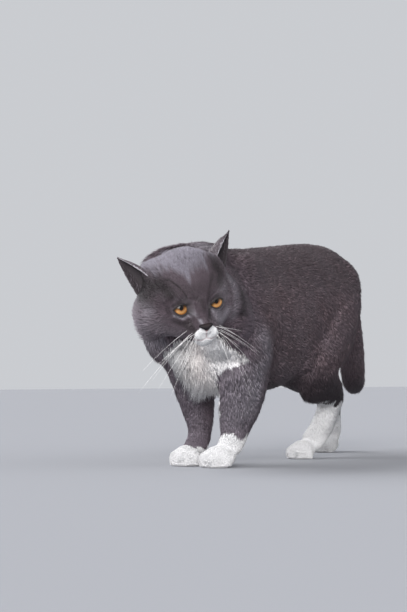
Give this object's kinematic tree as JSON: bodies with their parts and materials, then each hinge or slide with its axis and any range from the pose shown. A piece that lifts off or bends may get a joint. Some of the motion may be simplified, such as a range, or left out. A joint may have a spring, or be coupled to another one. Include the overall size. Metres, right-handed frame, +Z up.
{
  "type": "cat",
  "caption": "Life-size still model of a stocky short-haired cat, grey with a white muzzle, bib and feet, standing mid-step with its head low and turned to its left.",
  "frame": {"origin": "middle of the whole cat's footprint, on the floor that the four paws stand on", "axes": "+Z up; the body runs along Y and the cat faces -Y, so the tail is towards +Y; +X is the cat's left side"},
  "size_m": [0.1718, 0.6666, 0.297],
  "materials": {
    "coat_grey": "dense short plush fur, slate grey, matt with a faint sheen",
    "coat_white": "dense short plush fur, white, matt",
    "ear_grey": "thin furred ear, dark grey",
    "iris_amber": "wet glossy eye with an amber iris and a dark pupil",
    "nose_leather": "fine pebbled nose skin, dark grey, satin"
  },
  "bodies": {
    "root": {"barrel": "coat_grey", "chest": "coat_grey", "ear_left": "ear_grey", "ear_right": "ear_grey", "eye_left": "iris_amber", "eye_right": "iris_amber", "forearm_left": "coat_grey", "forearm_right": "coat_grey", "front_paw_left": "coat_white", "front_paw_right": "coat_white", "head": "coat_grey", "hind_paw_left": "coat_white", "hind_paw_right": "coat_white", "hips": "coat_grey", "neck": "coat_grey", "nose": "nose_leather", "shank_left": "coat_grey", "shank_right": "coat_grey", "tail_base": "coat_grey", "tail_middle": "coat_grey", "tail_tip": "coat_grey", "thigh_left": "coat_grey", "thigh_right": "coat_grey", "upper_arm_left": "coat_grey", "upper_arm_right": "coat_grey"}
  },
  "joints": []
}
